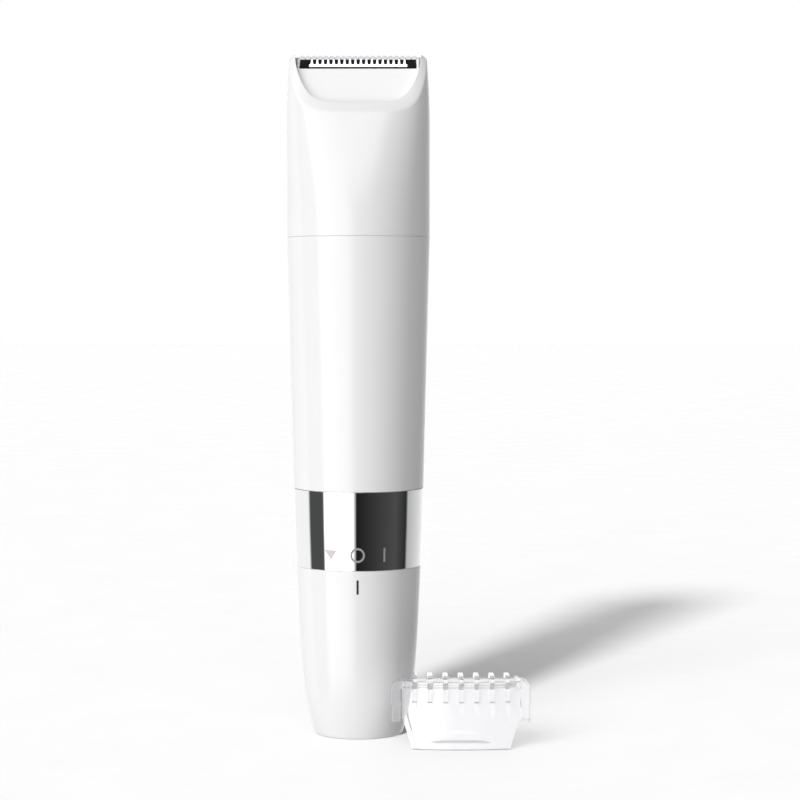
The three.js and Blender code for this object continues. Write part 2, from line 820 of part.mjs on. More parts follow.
function combPanel() {
  const xs = Array.from({ length: 13 }, (_, i) => COMB_HALF_WIDTH * (i / 6 - 1));
  const front = xs.map((x) => [x, bow(x)]);
  const back = xs.map((x) => [x, bow(x) + COMB_SHEET]).reverse();
  const sheet = solid(raised(shapeOf([...front, ...back]), 0, COMB_HEIGHT));
  const outline = shapeOf([
    [-COMB_FOOT_HALF, -1],
    [COMB_FOOT_HALF, -1],
    [COMB_FOOT_HALF, 0.3],
    [COMB_HALF_WIDTH, COMB_TAPER_Z],
    [COMB_HALF_WIDTH, COMB_HEIGHT + 1],
    [-COMB_HALF_WIDTH, COMB_HEIGHT + 1],
    [-COMB_HALF_WIDTH, COMB_TAPER_Z],
    [-COMB_FOOT_HALF, 0.3],
  ]);
  const thumbDish = solid(new THREE.SphereGeometry(1, 20, 12).scale(7.6, 0.8, 1.7).translate(0, -0.2, 2.8));
  return sheet.intersect(solid(pushedBack(outline, -2, 12))).subtract(thumbDish);
}

// One rib: a foot on the panel's face, up over the blade, down to the rear bar, and a fin behind the panel.
function combRib(x) {
  const y = bow(x);
  const outline = shapeOf([
    [y - RIB_STAND, 10.6],
    [y + 0.4, 10],
    [y + 0.8, 6.8],
    [y + COMB_SHEET, 6.8],
    [y + COMB_SHEET + RIB_STAND, 10],
    [y + COMB_SHEET + RIB_STAND, 13],
    [y + COMB_SHEET + RIB_STAND + 0.8, 13.9],
    [COMB_BACK - 1.8, 13.9],
    [COMB_BACK - 1.1, 12.6],
    [COMB_BACK, 12.6],
    [COMB_BACK, 14.7],
    [COMB_BACK - RIB_STAND, 15.6],
    [y + RIB_STAND, RIB_TOP],
    [y - 0.4, RIB_TOP - 0.6],
    [y - RIB_STAND, RIB_TOP - 1.7],
  ]);
  return solid(pushedAcross(outline, x - RIB_THICKNESS / 2, x + RIB_THICKNESS / 2));
}

// A side arm with a rounded shoulder that hangs beside the panel and snaps over the head's rim.
function combArm(side) {
  const shoulder = ARM_OUTER - SHOULDER_RADIUS;
  const shape = new THREE.Shape();
  shape.moveTo(12.3, ARM_BOTTOM);
  shape.lineTo(ARM_OUTER, ARM_BOTTOM);
  shape.lineTo(ARM_OUTER, COMB_HEIGHT - SHOULDER_RADIUS);
  shape.absarc(shoulder, COMB_HEIGHT - SHOULDER_RADIUS, SHOULDER_RADIUS, 0, Math.PI / 2, false);
  shape.lineTo(12.3, COMB_HEIGHT);
  const arm = solid(pushedBack(shape, ARM_FRONT, ARM_BACK, 5));
  const reliefTop = COMB_HEIGHT - 1.8;
  const relief = bar(12, COMB_HALF_WIDTH + GAP, ARM_FRONT - 1, ARM_BACK + 1, ARM_BOTTOM - 1, reliefTop);
  const hook = bar(12.8, 14, ARM_FRONT, ARM_BACK, 8.9, 9.7);
  const whole = arm.subtract(relief).add(hook);
  return side > 0 ? whole : whole.mirror([1, 0, 0]);
}

function trimmingComb() {
  const topBar = bar(
    -COMB_HALF_WIDTH,
    COMB_HALF_WIDTH,
    COMB_BULGE,
    COMB_BULGE + COMB_SHEET,
    COMB_HEIGHT - COMB_SHEET,
    COMB_HEIGHT,
  );
  const rearBar = bar(-COMB_HALF_WIDTH, COMB_HALF_WIDTH, COMB_BACK - 1.1, COMB_BACK, 12.6, 14.2);
  const cheeks = [-1, 1].map((side) =>
    bar(...span(side, COMB_HALF_WIDTH - 1, COMB_HALF_WIDTH), COMB_BULGE, COMB_BACK, 12.6, COMB_HEIGHT),
  );
  const ribs = Array.from({ length: RIBS }, (_, i) => combRib((i - (RIBS - 1) / 2) * RIB_PITCH));
  return joined([combPanel(), topBar, rearBar, ...cheeks, ...ribs, combArm(-1), combArm(1)]);
}

// ---------------------------------------------------------------- assembly

const groomer = new THREE.Group();

groomer.add(
  part("handle_shell", handleShell(), WHITE_GLOSS),
  part("neck_o_ring", neckRing(), GREY_RUBBER),
  part("chrome_ring", chromeRing(), CHROME),
  part("chassis", chassis(), WHITE_INNER),
  part("lever_pivot_pin", leverPivotPin(), SPRING_STEEL),
  part("motor_can", motorCan(), SPRING_STEEL),
  part("motor_end_cap", motorEndCap(), BLACK_PLASTIC),
  part("motor_bushing", motorBushing(), BRASS),
  part("motor_magnet_right", motorMagnet(0), MAGNET),
  part("motor_magnet_left", motorMagnet(Math.PI), MAGNET),
  part("motor_terminal_positive", terminal(TERMINAL_X), BRASS),
  part("motor_terminal_negative", terminal(-TERMINAL_X), BRASS),
  part("positive_contact", positiveContact(), BRASS),
  part("positive_lead", positiveLead(), RED_WIRE),
  part("negative_lead", negativeLead(), BLUE_WIRE),
  part("switch_leaf", switchLeaf(), COPPER),
  part("detent_spring", detentSpring(), SPRING_STEEL),
);

for (const [side, x] of [
  ["left", -MOTOR_SCREW_X],
  ["right", MOTOR_SCREW_X],
]) {
  const screw = part(`motor_screw_${side}`, motorScrew(), SPRING_STEEL);
  screw.position.x = x;
  groomer.add(screw);
}

groomer.add(
  part("motor_shaft", motorShaft(), SPRING_STEEL),
  part("motor_armature", motorArmature(), COPPER),
  part("eccentric_cam", eccentricCam(), WHITE_INNER),
  part("drive_lever", driveLever(), WHITE_INNER),
);

groomer.add(
  part("head_shell", headShell(), WHITE_GLOSS),
  part("head_apron", headApron(), WHITE_GLOSS),
  part("head_floor", headFloor(), WHITE_INNER),
  part("seal_membrane", sealMembrane(), GREY_RUBBER),
  part("cutter_spring", cutterSpring(), SPRING_STEEL),
  part("cutter_carriage", cutterCarriage(), BLACK_PLASTIC),
);

const blades = new THREE.Group();
blades.position.set(...BLADE_TIP);
blades.rotation.x = -THREE.MathUtils.degToRad(BLADE_TILT);
blades.add(
  part("fixed_blade", fixedBlade(), BLADE_STEEL),
  part("moving_blade", movingBlade(), BLADE_STEEL),
  part("blade_carrier", bladeCarrier(), BLACK_PLASTIC),
  part("blade_screw_left", bladeScrew(-SCREW_X), SPRING_STEEL),
  part("blade_screw_right", bladeScrew(SCREW_X), SPRING_STEEL),
);
groomer.add(blades);

groomer.add(
  part("switch_collar", switchCollar(), WHITE_INNER),
  part("collar_contact", collarContact(), BRASS),
  part("battery_cap", batteryCap(), WHITE_GLOSS),
  part("cap_o_ring", capRing(), GREY_RUBBER),
  part("spring_cup", springCup(), WHITE_INNER),
  part("cap_contact_plate", contactPlate(), BRASS),
  part("cap_contact_arm", contactArm(), BRASS),
  part("battery_spring", batterySpring(), SPRING_STEEL),
  part("battery_cell", batteryCell(), SPRING_STEEL),
  part("battery_jacket", batteryJacket(), CELL_JACKET),
);

const comb = part("trimming_comb", trimmingComb(), CLEAR);
comb.position.set(COMB_CENTRE.x, COMB_CENTRE.y, 0);
groomer.add(comb);

export default groomer;
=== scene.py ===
"""A battery body groomer standing on its cap, with its clear trimming comb beside it.

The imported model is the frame: bodies, joints and sizes come from it. The shells, the blades and the comb
are built again here as fine meshes of the same size. Form functions work in millimetres, and meshes are
in metres.
"""

import json
import math

import bmesh
import bpy
import numpy as np
from mathutils import Matrix, Vector


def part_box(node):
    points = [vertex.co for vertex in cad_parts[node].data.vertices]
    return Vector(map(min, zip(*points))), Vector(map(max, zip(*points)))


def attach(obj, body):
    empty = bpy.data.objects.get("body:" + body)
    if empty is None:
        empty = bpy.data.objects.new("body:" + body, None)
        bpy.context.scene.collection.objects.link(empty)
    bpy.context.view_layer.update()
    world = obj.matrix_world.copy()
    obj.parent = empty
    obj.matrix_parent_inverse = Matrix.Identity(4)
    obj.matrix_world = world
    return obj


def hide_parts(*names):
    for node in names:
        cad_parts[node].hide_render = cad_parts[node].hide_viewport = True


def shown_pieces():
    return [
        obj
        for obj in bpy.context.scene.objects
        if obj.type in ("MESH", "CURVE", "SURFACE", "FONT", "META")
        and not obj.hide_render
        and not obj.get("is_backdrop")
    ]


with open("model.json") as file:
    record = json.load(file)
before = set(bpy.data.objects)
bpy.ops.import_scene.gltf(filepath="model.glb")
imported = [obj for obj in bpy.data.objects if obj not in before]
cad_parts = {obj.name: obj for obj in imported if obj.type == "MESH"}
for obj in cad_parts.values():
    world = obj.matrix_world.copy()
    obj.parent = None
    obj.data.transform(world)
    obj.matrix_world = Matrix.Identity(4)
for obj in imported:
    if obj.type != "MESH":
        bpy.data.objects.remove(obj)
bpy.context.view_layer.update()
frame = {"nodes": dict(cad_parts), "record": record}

MM = 0.001


def box_mm(node):
    """The low and high corner of a CAD node."""
    low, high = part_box(node)
    return np.array(low) / MM, np.array(high) / MM


# ---------------------------------------------------------------- sizes from the frame, in mm

HEAD_LOW, HEAD_HIGH = box_mm("head_shell")
RING_LOW, RING_HIGH = box_mm("chrome_ring")
HANDLE_LOW, HANDLE_HIGH = box_mm("handle_shell")
COMB_LOW, COMB_HIGH = box_mm("trimming_comb")

# The CAD leaves GAP between neighbours. Here they meet with a hairline of JOIN. EASE rounds their edges.
GAP = 0.3
JOIN = 0.04
EASE = 0.05
# The head's wall thins from WALL to RIM_WALL at the rim of the scoop.
WALL = 1.8
RIM_WALL = 1.1
HEAD_TOP = HEAD_HIGH[2]
SEAM = HEAD_LOW[2] - GAP / 2
HEAD_BOTTOM = SEAM + JOIN
SEAM_DEPTH = HANDLE_HIGH[1]
HEAD_HALF_WIDTH = HEAD_HIGH[0]
CAP_TOP = RING_LOW[2] - GAP / 2
RING_BOTTOM = CAP_TOP + JOIN
RING_BEND = 46
RING_TOP = RING_HIGH[2] + GAP / 2
RING_RADIUS = RING_HIGH[0]
HANDLE_BOTTOM = RING_TOP + JOIN
HANDLE_RADIUS = RING_RADIUS - 0.1
NECK_TOP = HANDLE_HIGH[2]
# The apron ends just under the cutting blade.
APRON_TOP = 146.78

# ---------------------------------------------------------------- materials


class Finish:
    """A procedural surface: a principled shader whose colour, roughness and normal vary with noise."""

    def __init__(self, name, color, roughness, **fixed):
        self.material = bpy.data.materials.new(name)
        self.material.use_nodes = True
        self.tree = self.material.node_tree
        self.shader = self.tree.nodes["Principled BSDF"]
        self.shader.inputs["Base Color"].default_value = (*color, 1)
        self.shader.inputs["Roughness"].default_value = roughness
        for socket, value in fixed.items():
            self.shader.inputs[socket.replace("_", " ")].default_value = value
        self.color = color
        self.roughness = roughness
        self.place = self.tree.nodes.new("ShaderNodeTexCoord").outputs["Object"]
        self.normal = None

    def add(self, kind, **settings):
        node = self.tree.nodes.new(kind)
        for key, value in settings.items():
            setattr(node, key, value)
        return node

    def link(self, output, socket):
        self.tree.links.new(output, socket)

    def noise(self, size_mm, stretch=(1, 1, 1), detail=3.0):
        """Noise whose features are about size_mm across, drawn out along an axis where stretch is large."""
        mapping = self.add("ShaderNodeMapping")
        mapping.inputs["Scale"].default_value = [1 / (size_mm * MM * s) for s in stretch]
        self.link(self.place, mapping.inputs["Vector"])
        noise = self.add("ShaderNodeTexNoise")
        noise.inputs["Scale"].default_value = 1
        noise.inputs["Detail"].default_value = detail
        self.link(mapping.outputs["Vector"], noise.inputs["Vector"])
        return noise.outputs["Fac"]

    def spread(self, factor, low, high):
        ranged = self.add("ShaderNodeMapRange")
        ranged.inputs["From Min"].default_value = 0.3
        ranged.inputs["From Max"].default_value = 0.7
        ranged.inputs["To Min"].default_value = low
        ranged.inputs["To Max"].default_value = high
        self.link(factor, ranged.inputs["Value"])
        return ranged.outputs["Result"]

    def vary_color(self, size_mm, amount, other=None, stretch=(1, 1, 1)):
        """Drifts between the base colour and a slightly darker one, or another."""
        ramp = self.add("ShaderNodeValToRGB")
        ramp.color_ramp.elements[0].position = 0.3
        ramp.color_ramp.elements[1].position = 0.7
        darker = other or [c * (1 - amount) for c in self.color]
        ramp.color_ramp.elements[0].color = (*darker, 1)
        ramp.color_ramp.elements[1].color = (*self.color, 1)
        self.link(self.noise(size_mm, stretch), ramp.inputs["Fac"])
        self.link(ramp.outputs["Color"], self.shader.inputs["Base Color"])
        return self

    def vary_roughness(self, size_mm, amount, stretch=(1, 1, 1)):
        factor = self.noise(size_mm, stretch)
        ranged = self.spread(factor, self.roughness - amount, self.roughness + amount)
        self.link(ranged, self.shader.inputs["Roughness"])
        return self

    def bump(self, size_mm, depth_mm, stretch=(1, 1, 1), detail=3.0):
        bump = self.add("ShaderNodeBump")
        bump.inputs["Distance"].default_value = depth_mm * MM
        self.link(self.noise(size_mm, stretch, detail), bump.inputs["Height"])
        if self.normal:
            self.link(self.normal, bump.inputs["Normal"])
        self.normal = bump.outputs["Normal"]
        self.link(self.normal, self.shader.inputs["Normal"])
        return self


def body_white():
    finish = Finish("body_white", (0.87, 0.87, 0.875), 0.14, Specular_IOR_Level=0.5)
    finish.vary_color(14, 0.012).vary_roughness(6, 0.03)
    return finish.bump(9, 0.004, detail=1).bump(0.35, 0.0004)


# The apron's white is painted brighter than the body's white. This is painted light that makes up for the
# light the apron gets in the scoop.
def brightened_apron_white():
    finish = Finish("brightened_apron_white", (0.95, 0.95, 0.95), 0.14, Specular_IOR_Level=0.5)
    return finish.vary_color(8, 0.01).vary_roughness(5, 0.03).bump(0.35, 0.0004)


def inner_white():
    finish = Finish("inner_white", (0.74, 0.74, 0.72), 0.5)
    return finish.vary_color(5, 0.05).vary_roughness(2, 0.08).bump(0.25, 0.004)


def chrome():
    finish = Finish("chrome", (0.93, 0.935, 0.94), 0.035, Metallic=1.0)
    return finish.vary_roughness(7, 0.012).vary_color(20, 0.02).bump(11, 0.0015, detail=1)


def blade_steel():
    finish = Finish("blade_steel", (0.74, 0.76, 0.78), 0.2, Metallic=1.0)
    finish.vary_color(1.5, 0.12, stretch=(6, 1, 1)).vary_roughness(0.8, 0.06, stretch=(8, 1, 1))
    return finish.bump(0.05, 0.0012, stretch=(40, 1, 1))


# The fixed blade's steel is painted much darker than the cutting blade's. This is painted shade for the
# dark gaps between the moving teeth.
def shaded_fixed_steel():
    finish = Finish("shaded_fixed_steel", (0.36, 0.37, 0.385), 0.26, Metallic=1.0)
    finish.vary_color(1.5, 0.12, stretch=(6, 1, 1)).vary_roughness(0.8, 0.05, stretch=(8, 1, 1))
    return finish.bump(0.05, 0.001, stretch=(40, 1, 1))


def spring_steel():
    finish = Finish("spring_steel", (0.5, 0.51, 0.52), 0.32, Metallic=1.0)
    return finish.vary_color(2, 0.15).vary_roughness(1, 0.08).bump(0.12, 0.002, stretch=(1, 1, 12))


def black_plastic():
    finish = Finish("black_plastic", (0.008, 0.008, 0.009), 0.3, Specular_IOR_Level=0.06)
    return finish.vary_color(1.5, 0.3).vary_roughness(0.8, 0.07).bump(0.12, 0.003)


def seal_rubber():
    finish = Finish("seal_rubber", (0.035, 0.037, 0.04), 0.7)
    return finish.vary_color(2, 0.25).vary_roughness(1, 0.08).bump(0.15, 0.006)


def contact_brass():
    finish = Finish("contact_brass", (0.66, 0.47, 0.2), 0.3, Metallic=1.0)
    return finish.vary_color(2, 0.2).vary_roughness(1.2, 0.1).bump(0.1, 0.002)


def winding_copper():
    finish = Finish("winding_copper", (0.6, 0.27, 0.13), 0.33, Metallic=1.0)
    return finish.vary_color(1.5, 0.2).vary_roughness(1, 0.08).bump(0.12, 0.01, stretch=(1, 1, 20))


def magnet():
    finish = Finish("magnet", (0.045, 0.045, 0.05), 0.6)
    return finish.vary_color(1, 0.3).vary_roughness(0.8, 0.1).bump(0.2, 0.01)


def cell_jacket():
    finish = Finish("cell_jacket", (0.02, 0.09, 0.16), 0.28, Coat_Weight=0.4)
    return finish.vary_color(6, 0.12).vary_roughness(3, 0.05).bump(2, 0.004)


def wire_sleeve(name, color):
    return Finish(name, color, 0.45).vary_color(2, 0.15).vary_roughness(1, 0.06).bump(0.3, 0.004)


def clear_plastic():
    finish = Finish("clear_plastic", (0.985, 0.985, 1.0), 0.03, IOR=1.49, Transmission_Weight=0.78)
    return finish.vary_roughness(3, 0.012).vary_color(8, 0.006).bump(5, 0.004, detail=1)


def print_ink(name, color):
    return Finish(name, color, 0.45).vary_color(0.6, 0.08).vary_roughness(0.5, 0.05).bump(0.1, 0.001)


FINISHES = {
    "body_white": body_white(),
    "inner_white": inner_white(),
    "chrome": chrome(),
    "blade_steel": blade_steel(),
    "spring_steel": spring_steel(),
    "black_plastic": black_plastic(),
    "seal_rubber": seal_rubber(),
    "contact_brass": contact_brass(),
    "winding_copper": winding_copper(),
    "magnet": magnet(),
    "cell_jacket": cell_jacket(),
    "red_wire": wire_sleeve("red_wire", (0.42, 0.02, 0.015)),
    "blue_wire": wire_sleeve("blue_wire", (0.02, 0.05, 0.3)),
    "clear_plastic": clear_plastic(),
}
BRIGHTENED_APRON_FINISH = brightened_apron_white()
SHADED_FIXED_BLADE_FINISH = shaded_fixed_steel()
BLACK_INK = print_ink("black_ink", (0.012, 0.012, 0.014))
GREY_INK = print_ink("grey_ink", (0.33, 0.33, 0.34))
PALE_INK = print_ink("pale_ink", (0.66, 0.61, 0.61))

# ---------------------------------------------------------------- meshes


def smooth_by_angle(mesh, degrees=32):
    work = bmesh.new()
    work.from_mesh(mesh)
    for face in work.faces:
        face.smooth = True
    for edge in work.edges:
        edge.smooth = edge.calc_face_angle(0) < math.radians(degrees)
    work.to_mesh(mesh)
    work.free()


def new_object(name, verts_mm, faces, weld=0.0):
    """A mesh object from points in mm, its faces turned outwards."""
    mesh = bpy.data.meshes.new(name)
    mesh.from_pydata((np.asarray(verts_mm) * MM).tolist(), [], faces)
    work = bmesh.new()
    work.from_mesh(mesh)
    if weld:
        bmesh.ops.remove_doubles(work, verts=work.verts, dist=weld * MM)
        bmesh.ops.dissolve_degenerate(work, edges=work.edges, dist=1e-7)
    bmesh.ops.recalc_face_normals(work, faces=work.faces)
    if work.calc_volume(signed=True) < 0:
        bmesh.ops.reverse_faces(work, faces=work.faces)
    work.to_mesh(mesh)
    work.free()
    thing = bpy.data.objects.new(name, mesh)
    bpy.context.scene.collection.objects.link(thing)
    return thing


def skin(name, rings, loop=False, weld=0.0):
    """Joins closed rings of points in turn. A loop joins the last to the first, or else ends are capped."""
    rings = np.asarray(rings, float)
    count, around = rings.shape[:2]
    index = np.arange(count * around).reshape(count, around)
    faces = []
    for i in range(count if loop else count - 1):
        a, b = index[i], index[(i + 1) % count]
        for j in range(around):
            k = (j + 1) % around
            faces.append((a[j], a[k], b[k], b[j]))
    if not loop:
        faces += [tuple(index[0][::-1]), tuple(index[-1])]
    return new_object(name, rings.reshape(-1, 3), faces, weld)


def turned(name, profile, segments=192):
    """A closed profile of (radius, height) points turned about Z."""
    radii, heights = np.asarray(profile, float).T
    angles = np.arange(segments) * 2 * math.pi / segments
    rings = [np.column_stack((radii * math.cos(a), radii * math.sin(a), heights)) for a in angles]
    return skin(name, rings, loop=True, weld=1e-4)


def finished(thing, finish, body, replaces=(), degrees=32):
    """Gives a piece its surface and the body it moves with."""
    smooth_by_angle(thing.data, degrees)
    thing.data.materials.clear()
    thing.data.materials.append(finish.material)
    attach(thing, body)
    if replaces:
        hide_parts(*replaces)
    return thing


def prism(name, outline, near, far, axes="xz", bevel=0.0, segments=2):
    """An outline pushed from near to far: in X and Z pushed along Y, or in Y and Z pushed along X."""
    across, up = np.asarray(outline, float).T

    def ring(depth):
        flat = np.full(len(across), depth)
        return np.column_stack((across, flat, up) if axes == "xz" else (flat, across, up))

    thing = skin(name, [ring(near), ring(far)])
    if bevel:
        work = bmesh.new()
        work.from_mesh(thing.data)
        sharp = [e for e in work.edges if e.calc_face_angle(0) > math.radians(30)]
        size = {"offset": bevel * MM, "segments": segments}
        bmesh.ops.bevel(work, geom=sharp, affect="EDGES", clamp_overlap=True, **size)
        work.to_mesh(thing.data)
        work.free()
    return thing


def combine(base, others, operation):
    """Joins solids to the base, or cuts them out of it."""
    for other in others:
        step = base.modifiers.new("step", "BOOLEAN")
        step.operation = operation
        step.solver = "EXACT"
        step.object = other
    bpy.context.view_layer.update()
    whole = bpy.data.meshes.new_from_object(base.evaluated_get(bpy.context.evaluated_depsgraph_get()))
    base.modifiers.clear()
    base.data = whole
    for other in others:
        bpy.data.objects.remove(other)
    return base


def fillet(start, corner, end, steps=4):
    """Points on a curve from start to end that bends at the corner."""
    shares = np.linspace(0, 1, steps + 1)
    return [(1 - t) ** 2 * start + 2 * t * (1 - t) * corner + t**2 * end for t in shares]


def rounded(points, radius, steps=4):
    """A closed outline with each corner swapped for an arc-like curve of about that radius."""
    points = [np.asarray(p, float) for p in points]
    result = []
    for i, corner in enumerate(points):
        before, after = points[i - 1], points[(i + 1) % len(points)]
        to_before, to_after = before - corner, after - corner
        reach = min(radius, 0.45 * np.linalg.norm(to_before), 0.45 * np.linalg.norm(to_after))
        start = corner + to_before / np.linalg.norm(to_before) * reach
        end = corner + to_after / np.linalg.norm(to_after) * reach
        result += fillet(start, corner, end, steps)
    return np.array(result)


def bezier(points, t):
    """A cubic curve's points at t."""
    p = np.asarray(points, float)
    t = np.asarray(t)[:, None]
    return (1 - t) ** 3 * p[0] + 3 * (1 - t) ** 2 * t * p[1] + 3 * (1 - t) * t**2 * p[2] + t**3 * p[3]


# ---------------------------------------------------------------- the outer form, in mm

COLUMNS = 384
AZIMUTHS = np.arange(COLUMNS) * 2 * math.pi / COLUMNS
# Up to here the head is one plain form. The scoop and the narrowing at its top start above.
HEAD_PLAIN_TOP = 134


def head_share(z):
    """0 at the seam under the head, and 1 at its top."""
    return np.clip((z - SEAM) / (HEAD_TOP - SEAM), 0, 1)


def handle_share(z):
    """0 at the bottom of the handle, and 1 at the seam."""
    return np.clip((z - HANDLE_BOTTOM) / (SEAM - HANDLE_BOTTOM), 0, 1)


def half_width(z):
    neck_in = np.maximum(0, (z - HEAD_PLAIN_TOP) / 15.5)
    return HANDLE_RADIUS + (HEAD_HALF_WIDTH - HANDLE_RADIUS) * handle_share(z) - 0.7 * neck_in**2


def depth_to_seam(z):
    return HANDLE_RADIUS + (SEAM_DEPTH - HANDLE_RADIUS) * handle_share(z)


def front_depth(z):
    return depth_to_seam(z) - 2 * head_share(z) - 4 * head_share(z) ** 2


def back_depth(z):
    return depth_to_seam(z) - 1.5 * head_share(z) - 8.5 * head_share(z) ** 2


def squareness(z):
    """2 makes the section an ellipse, and 4 a rounded oblong."""
    return 2 + 2 * head_share(z) ** 2


def section(azimuth, z, inset=0.0):
    """Points of the outer form, moved in by inset, at height z in the direction azimuth from +X."""
    azimuth, z, inset = np.broadcast_arrays(*np.atleast_1d(azimuth, z, inset))
    c, s = np.cos(azimuth), np.sin(azimuth)
    power = squareness(z)
    wide = half_width(z) - inset
    deep = np.where(s < 0, front_depth(z), back_depth(z)) - inset
    reach = (np.abs(c / wide) ** power + np.abs(s / deep) ** power) ** (-1 / power)
    return np.stack((reach * c, reach * s, z), axis=-1)


def level(z, inset=0.0):
    """The whole ring of the outer form at height z, moved in by inset."""
    return section(AZIMUTHS, z, inset)


def circle(z, radius):
    """A round ring whose points line up with the section's."""
    return np.column_stack((radius * np.cos(AZIMUTHS), radius * np.sin(AZIMUTHS), np.full(COLUMNS, z)))


# ---------------------------------------------------------------- the scoop in the head's front

# The scoop's edge outside and inside the wall, as (y, z) curves seen from the side.
CURVE_SHARES = np.linspace(0, 1, 400)
SCOOP_OUTSIDE = bezier([(-12.5, 136.8), (-8.7, 136.8), (-8.3, 141.2), (-2.6, 150.4)], CURVE_SHARES)
SCOOP_INSIDE = bezier([(-12.2, 138.5), (-8.0, 138.5), (-8.6, 142.2), (-3.5, 150.2)], CURVE_SHARES)
# The top edge rises from the outside of the wall to its inside by BROW_DROP.
BROW_DROP = 0.9
SLOT_BACK = 2.3


def curve_y(curve, z):
    """The curve's y at height z. Below the curve it is far in front, so that nothing there is cut."""
    return np.interp(z, curve[:, 1], curve[:, 0], left=-99)


def smooth_min(a, b, blend):
    """The smaller of the two, with a soft change from one to the other."""
    h = np.clip(0.5 + 0.5 * (b - a) / blend, 0, 1)
    return b * (1 - h) + a * h - blend * h * (1 - h)


def edge_height(curve, inset, brow):
    """Where each column, moved in by inset, ends: at the scoop in front, and at the brow elsewhere."""
    z = np.linspace(HEAD_PLAIN_TOP, HEAD_TOP + 0.4, 900)
    ahead = section(AZIMUTHS[None, :], z[:, None], inset)[..., 1] - curve_y(curve, z)[:, None]
    first = np.argmax(ahead < 0, axis=0)
    met = (ahead < 0).any(axis=0) & (first > 0)
    at = np.arange(COLUMNS)
    high, low = ahead[first - 1, at], ahead[first, at]
    crossing = z[first - 1] + (z[first] - z[first - 1]) * high / np.where(met, high - low, 1)
    return smooth_min(np.where(met, crossing, HEAD_TOP + 9), brow, 0.25)


OUTER_EDGE = edge_height(SCOOP_OUTSIDE, 0, HEAD_TOP - BROW_DROP)
INNER_EDGE = edge_height(SCOOP_INSIDE, RIM_WALL, HEAD_TOP)


def cut_height(inset):
    """Where each column ends, from the outside of the rim (inset 0) to its inside (inset RIM_WALL)."""
    return OUTER_EDGE + (INNER_EDGE - OUTER_EDGE) * inset / RIM_WALL


def rim(inset):
    return level(cut_height(inset), inset)


def head_shell():
    """The head's outer shell, from its lower edge up the outside, over the rim and down the inside."""
    start = HEAD_PLAIN_TOP
    round_out, round_in = 0.32, 0.2
    outer_reach = cut_height(0) - round_out - start
    inner_reach = cut_height(RIM_WALL) - round_in - start
    rows = [level(HEAD_BOTTOM + 0.05, 0.5), level(HEAD_BOTTOM, EASE)]
    rows += fillet(rows[-1], level(HEAD_BOTTOM), level(HEAD_BOTTOM + EASE), 3)[1:]
    rows += [level(z) for z in np.linspace(HEAD_BOTTOM + 1, start, 22)]
    rows += [level(start + outer_reach * t) for t in np.linspace(0.04, 1, 24)]
    rows += fillet(rows[-1], rim(0), rim(round_out))[1:]
    rows += [rim(inset) for inset in np.linspace(round_out, RIM_WALL - round_in, 6)[1:]]
    rows += fillet(rows[-1], rim(RIM_WALL), level(start + inner_reach, RIM_WALL), 3)[1:]
    for t in np.linspace(0.93, 0, 12):
        rows.append(level(start + inner_reach * t, WALL + (RIM_WALL - WALL) * t))
    rows += [level(z, WALL) for z in np.linspace(start - 4, HEAD_BOTTOM + 0.4, 8)]
    rows.append(level(HEAD_BOTTOM + 0.05, WALL - 0.3))
    piece = skin("groomer_head", rows, loop=True)
    return finished(piece, FINISHES["body_white"], "head", ["head_shell"])


def head_roof():
    """Closes the head behind the blade slot."""
    z = HEAD_TOP - 1.9
    around = section(np.linspace(0, math.pi, 161), z, RIM_WALL + 0.1)[:, :2]
    behind = [(x, y) for x, y in around if y > SLOT_BACK]
    outline = [(behind[0][0] + 0.2, SLOT_BACK), *behind, (behind[-1][0] - 0.2, SLOT_BACK)]
    rings = [[(x, y, h) for x, y in outline] for h in (z, HEAD_TOP - 0.02)]
    return finished(skin("head_roof", rings), FINISHES["body_white"], "head")


def head_apron():
    """The smooth panel in the scoop. Its edge curls forward a little towards the rim."""
    recess, thickness, clear = 1.5, 1.2, RIM_WALL + 0.3
    curl, curl_width = 0.5, 2.0
    heights = np.linspace(136, APRON_TOP, 700)

    def outside(x):
        y = curve_y(SCOOP_INSIDE, heights) + recess
        power = squareness(heights)
        wide, deep = half_width(heights) - clear, front_depth(heights) - clear
        return np.abs(x / wide) ** power + np.abs(y / deep) ** power > 1

    def foot(x):
        out = np.flatnonzero(outside(x))
        return heights[out[-1]] if len(out) else heights[0]

    widest = max(x for x in np.linspace(10, 15, 501) if foot(x) < APRON_TOP - 0.5)
    xs = widest * np.sin(np.linspace(-math.pi / 2, math.pi / 2, 121))
    feet = np.array([foot(x) for x in xs])
    feet = np.convolve(np.pad(feet, 2, mode="edge"), np.ones(5) / 5, mode="valid")
    border = np.column_stack((np.r_[xs[0], xs, xs[-1]], np.r_[APRON_TOP + 3, feet, APRON_TOP + 3]))
    fine = np.concatenate([np.linspace(a, b, 12) for a, b in zip(border[:-1], border[1:])])

    def front(x, z):
        near = np.hypot(fine[:, 0] - x, fine[:, 1] - z).min()
        return float(curve_y(SCOOP_INSIDE, z)) + recess - curl * max(0, 1 - near / curl_width) ** 2

    rings = []
    for x, low in zip(xs, feet):
        z = low + (APRON_TOP - low) * np.linspace(0, 1, 40)
        face = [(x, front(x, h), h) for h in z]
        top_y = face[-1][1]
        top = [(x, top_y + 0.06, APRON_TOP + 0.1), (x, top_y + 0.2, APRON_TOP + 0.14)]
        back = [(x, float(curve_y(SCOOP_INSIDE, h)) + recess + thickness, h) for h in z[::-4]]
        rings.append(face + top + back + [(x, back[-1][1], low), (x, face[0][1] + 0.3, low - 0.05)])
    piece = skin("head_apron_panel", rings)
    return finished(piece, BRIGHTENED_APRON_FINISH, "head", ["head_apron"], degrees=45)


